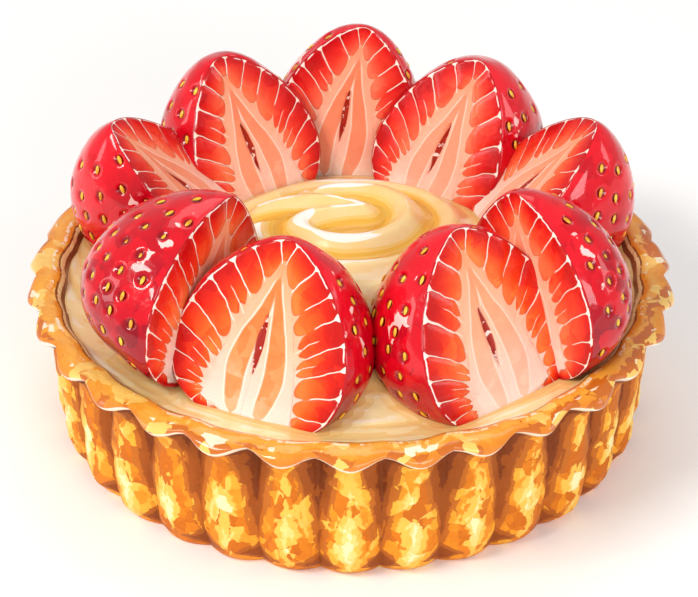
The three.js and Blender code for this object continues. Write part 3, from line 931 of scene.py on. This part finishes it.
def fruit(one, seed):
    """A cut strawberry: the dimpled skin, the two sides of the cut face, the core between them and the flat
    hull end, all welded into one closed surface, with its seeds."""
    rng = np.random.default_rng(seed)
    t = HULL_CUT + (1 - HULL_CUT) * (1 - np.cos(np.linspace(0, math.pi, BERRY_ROWS))) / 2
    places = seed_places(one, rng)
    skin_points, bowl, girth = dimpled_flank(one, t, places, seed)
    right, right_fields = cut_side(one, t, skin_points[:, 0], 1, rng)
    left, left_fields = cut_side(one, t, skin_points[:, -1], -1, rng)
    middle, middle_fields = core(one, left, right)
    left_fields = {name: values[:, ::-1] for name, values in left_fields.items()}
    skin_fields = dict(reach=1 + 0 * bowl, bowl=bowl, girth=girth)
    grids = [right, left[:, ::-1], middle, skin_points]
    firsts = np.cumsum([0] + [grid[..., 0].size for grid in grids])
    seed_points, seed_corners = seeds(one, places)
    hull_middle = [[0, one["belly"] / 2, BACK_RISE * one["belly"] / 2]]
    points = np.vstack([*[grid.reshape(-1, 3) for grid in grids], hull_middle, seed_points])

    hull_loop = [firsts[3] + np.arange(FLANK_COLUMNS), firsts[2] + np.arange(1, middle.shape[1] - 1)]
    corners = [grid_faces(*grid.shape[:2], first=first) for grid, first in zip(grids, firsts)]
    corners += [fan_faces(firsts[4], np.concatenate(hull_loop)), firsts[4] + 1 + seed_corners]
    material = np.repeat([FLESH, FLESH, FLESH, SKIN, SKIN, PIP], [len(some) for some in corners])

    fields = dict(along=points[:, 2] / one["length"], across=points[:, 0] / (one["width"] / 2))
    for name in ("finger", "reach", "bowl", "girth"):
        fields[name] = np.zeros(len(points))
        for some, first in zip((right_fields, left_fields, middle_fields, skin_fields), firsts):
            if name in some:
                fields[name][first:first + some[name].size] = some[name].ravel()
    points, corners, fields, material = welded(points, np.concatenate(corners), fields, material)
    turn, hull = berry_place(one)
    made = mesh_of("fruit_" + one["name"], points @ turn.T + hull, corners, fields,
                   [skin(one), flesh(one), pip()], material=material, sharp=SHARP)
    place_piece(made, "berry_" + one["name"])


def skin(one):
    """Glossy red skin in washes with crisp edges, darker towards the hull, with painted shade in the dimples
    and pale flecks of painted highlight near the cut."""
    paint = Paint("skin_" + one["name"], roughness=0.22, subsurface_weight=0.08, subsurface_scale=0.002,
                  coat_weight=0.75, coat_roughness=0.06, specular_ior_level=0.1)
    wash = paint.patches(3.4, 3, 0.8) - 0.5
    tone = paint.field("along") * 0.6 + paint.cloud(6, 2) * 0.6 + wash * 0.36 + 0.2
    red = tone.ramp((0.0, "#7C0014"), (0.3, "#AC021C"), (0.6, "#D6041C"), (1.0, "#EE182A"))
    # Painted shade in the dimples.
    dark = paint.field("bowl").step(0.05, 0.6) * 0.8
    # Painted highlights: pale flecks near the cut, on the upper part of the flank.
    painted_sheen = 0.1 - abs(paint.field("girth") - 0.08) * 2.6 - abs(paint.field("along") - 0.66) * 0.8
    painted_sheen = (painted_sheen + wash * 0.5 + paint.cloud(2.2, 2) * 0.5 - paint.field("bowl")).step(0.16, 0.2)
    red = paint.mix(painted_sheen * 0.85, red, "#FFDCD6")
    paint.bumps((paint.cloud(0.8, 2), 0.05), (paint.cloud(2.6, 2), 0.25))
    return paint.finish(paint.mix(dark, red, "#78040F"))


def pip():
    """A golden seed, browner in places."""
    known = bpy.data.materials.get("seed")
    if known:
        return known
    paint = Paint("seed", roughness=0.35, coat_weight=0.3)
    colour = (paint.cloud(2.5, 2) + 0.5).ramp((0.3, "#D98A10"), (0.5, "#F5B61C"), (0.7, "#FBD23C"))
    return paint.finish(colour)


def flesh(one):
    """The moist cut face. Wedges of flesh, orange at the core and red at the skin, end in round tips at the
    pale core; thin whitish veins part them and widen to small triangles at the skin. In the core lie two
    strips of pith that meet towards the tip, and a slit beside one of them, painted dark as shade in its
    hollow. A broken whitish line inside the skin is paler flesh and partly a painted highlight. "ripe"
    mixes orange and pink flesh."""
    ripe = one["ripe"]
    paint = Paint("flesh_" + one["name"], roughness=0.3, subsurface_weight=0.12, subsurface_scale=0.002,
                  coat_weight=0.5, coat_roughness=0.12, specular_ior_level=0.15)
    wander = paint.cloud(1.8, 2)
    wash = paint.patches(2.8, 2.6, 0.8) - 0.5
    finger = paint.field("finger") + paint.cloud(5, 1) * 0.3 + wander * 0.06
    reach = paint.field("reach") + wander * 0.05
    along = paint.field("along") + wander * 0.016
    across = paint.field("across") + paint.cloud(6, 1) * 0.04
    off_vein = abs(finger - finger.rounded())
    wedge_chance = paint.chance(finger.floor())
    vein_chance = paint.chance(finger.rounded() + 50.5)

    taper = 1.0 - off_vein * 2.0
    split = paint.chance(finger.floor() + 90.5).step(0.45, 0.46)
    half_way = 1.0 - abs(off_vein - 0.5).step(0.0, 0.16)
    wedge_end = wedge_chance * 0.12 + taper * taper * taper * 0.2 + split * half_way * 0.1 - 0.03
    past_end = reach - wedge_end
    in_wedge = past_end.step(-0.01, 0.015)
    depth = reach + wedge_chance * 0.26 - 0.13 + paint.cloud(3, 2) * 0.2 + wash * 0.22
    orange = depth.ramp((0.0, "#F47E34"), (0.26, "#F05C1A"), (0.48, "#EA3C10"), (0.7, "#DC200A"),
                        (0.92, "#C40E08"))
    pink = depth.ramp((0.0, "#F67C62"), (0.26, "#F25A46"), (0.48, "#EA382E"), (0.7, "#DC1C20"),
                      (0.92, "#BE0A16"))
    wedge = paint.mix(ripe, orange, pink)
    wedge = paint.mix((1.0 - past_end.step(0.02, 0.05)) * 0.35, wedge, "#E2502A")

    pale = along.ramp((0.02, "#FEE8E0"), (0.2, "#FCD8C8"), (0.45, "#F9C2A2"), (0.8, "#F6A87C"),
                      (0.95, "#F39058"))
    pale = paint.mix((along + wander * 0.3).step(0.0, 0.3) * (0.5 * ripe), pale, "#F6A08C")
    blush = (reach - 0.12 + wash * 0.3 + wander * 0.3).step(-0.3, 0.15) * 0.35
    body = paint.mix(in_wedge, paint.mix(blush, pale, "#F7A27C"), wedge)
    width = (1.0 - reach) * 0.012 + reach.step(0.85, 1.0) * 0.13 + 0.022
    vein = 1.0 - (off_vein - width).step(-0.012, 0.012)
    vein = vein * (reach - vein_chance * vein_chance * 0.45).step(0.0, 0.08)
    half_vein = (1.0 - abs(off_vein - 0.5).step(0.008, 0.03)) * split
    half_vein = half_vein * (1.0 - (reach - 0.22 - wedge_chance * 0.25).step(0.0, 0.12)) * 0.8
    vein_strength = 1.0 - (1.0 - reach) * (0.7 - 0.7 * one["pith"])
    body = paint.mix(vein.most(half_vein) * vein_strength, body, "#FFEDDF")

    bow = along.ramp((0.0, 0.12), (0.06, 0.155), (0.3, 0.215), (0.54, 0.12), (0.8, 0.0), ease="CARDINAL")
    girth = along.ramp((0.045, 0.0), (0.075, 0.06), (0.14, 0.09), (0.3, 0.112), (0.54, 0.078), (0.78, 0.02),
                       (0.83, 0.0), ease="CARDINAL")
    from_strip = abs(abs(across) - bow) - girth
    strip_line = (1.0 - abs(from_strip - 0.012).step(0.004, 0.014)) * (0.8 - along).step(0.0, 0.05) * 0.7
    strip = 1.0 - from_strip.step(-0.012, 0.008)
    in_core = 1.0 - reach.step(-0.12, -0.04)
    pith = (along + wander * 0.3 + wash * 0.3).ramp((0.05, "#F9B78C"), (0.22, "#F59A5E"), (0.6, "#F28142"),
                                                    (0.8, "#EF7A40"))
    body = paint.mix(strip_line * in_core * (0.4 + 0.4 * one["pith"]), body, "#FFF3E6")
    body = paint.mix(strip * in_core * one["pith"], body, paint.mix(ripe * 0.6, pith, "#EE7A62"))
    middle = (along - SLIT_SPAN[0]) * (1 / (SLIT_SPAN[1] - SLIT_SPAN[0]))
    slit = (middle * (1.0 - middle) * 4.0).most(0.0) * SLIT_WIDTH - abs(across - SLIT_LEAN)
    # Painted shade: the slit's hollow is dark.
    body = paint.mix(slit.step(-0.006, 0.01), body, "#AC281A")
    body = paint.mix((slit + 0.002).step(0.0, 0.01) * paint.cloud(1.3, 2).step(0.1, 0.14), body, "#FFE6DA")

    # A broken whitish line just inside the skin: paler flesh, and partly a painted highlight.
    white_edge = (1.0 - abs(reach - 0.945).step(0.006, 0.02)) * paint.cloud(3.5, 1).step(-0.06, 0.02)
    body = paint.mix(white_edge * 0.9, body, "#FFF6F0")
    rind = paint.field("reach").step(0.97, 0.98).most(1.0 - along.step(0.028, 0.04))
    body = paint.mix(rind, body, "#B8081A")
    paint.bumps((paint.cloud(0.6, 3), 0.06), (in_wedge - vein * 0.8, 0.15), (paint.cloud(2.4, 2), 0.2))
    return paint.finish(body)


def floor():
    """A plain pale floor."""
    paint = Paint("floor", roughness=0.7)
    points = np.array([(-1, -1, 0), (1, -1, 0), (1, 1, 0), (-1, 1, 0)]) * FLOOR_HALF / MM
    made = mesh_of("floor", points, np.array([(0, 1, 2), (0, 2, 3)]), {}, [paint.finish("#FFFFFF")])


def stand(name, data, place, target):
    """A light or camera in the scene, at a place in metres, that looks at the target."""
    made = bpy.data.objects.new(name, data)
    made.location = place
    made.rotation_euler = (target - Vector(place)).to_track_quat("-Z", "Y").to_euler()
    bpy.context.scene.collection.objects.link(made)
    return made


def soft_light(name, place, size, power, colour):
    """A rectangular light that looks at the tart."""
    lamp = bpy.data.lights.new(name, "AREA")
    lamp.shape = "RECTANGLE"
    lamp.size, lamp.size_y = size
    lamp.energy = power
    lamp.color = tint(colour)[:3]
    stand(name, lamp, place, LIT_PLACE)


def studio():
    """Soft light from all round, a key light from the upper left, and weaker ones from the front, both
    sides and behind."""
    world = bpy.data.worlds.new("studio")
    world.use_nodes = True
    world.node_tree.nodes["Background"].inputs["Color"].default_value = tint("#FFFFFF")
    world.node_tree.nodes["Background"].inputs["Strength"].default_value = WORLD_LIGHT
    bpy.context.scene.world = world
    for light in LIGHTS:
        soft_light(*light)
    bpy.context.scene.view_settings.view_transform = "Standard"
    bpy.context.scene.view_settings.look = "None"


def camera():
    """The picture's view: from the front, looking down by ELEVATION. The lens gives the picture's scale at
    the aim: sensor width * distance * pixels per metre / picture width."""
    lens = bpy.data.cameras.new("camera")
    lens.sensor_width = SENSOR
    lens.lens = SENSOR * DISTANCE * PIXELS_PER_METRE / PICTURE_WIDTH
    lens.clip_start, lens.clip_end = CLIP
    back = Vector((0, -math.cos(ELEVATION), math.sin(ELEVATION)))
    bpy.context.scene.camera = stand("camera", lens, AIM + back * DISTANCE, AIM)


camera()
studio()
floor()
crust()
filling()
for number, berry in enumerate(BERRIES):
    fruit(berry, BERRY_DRAW + number)
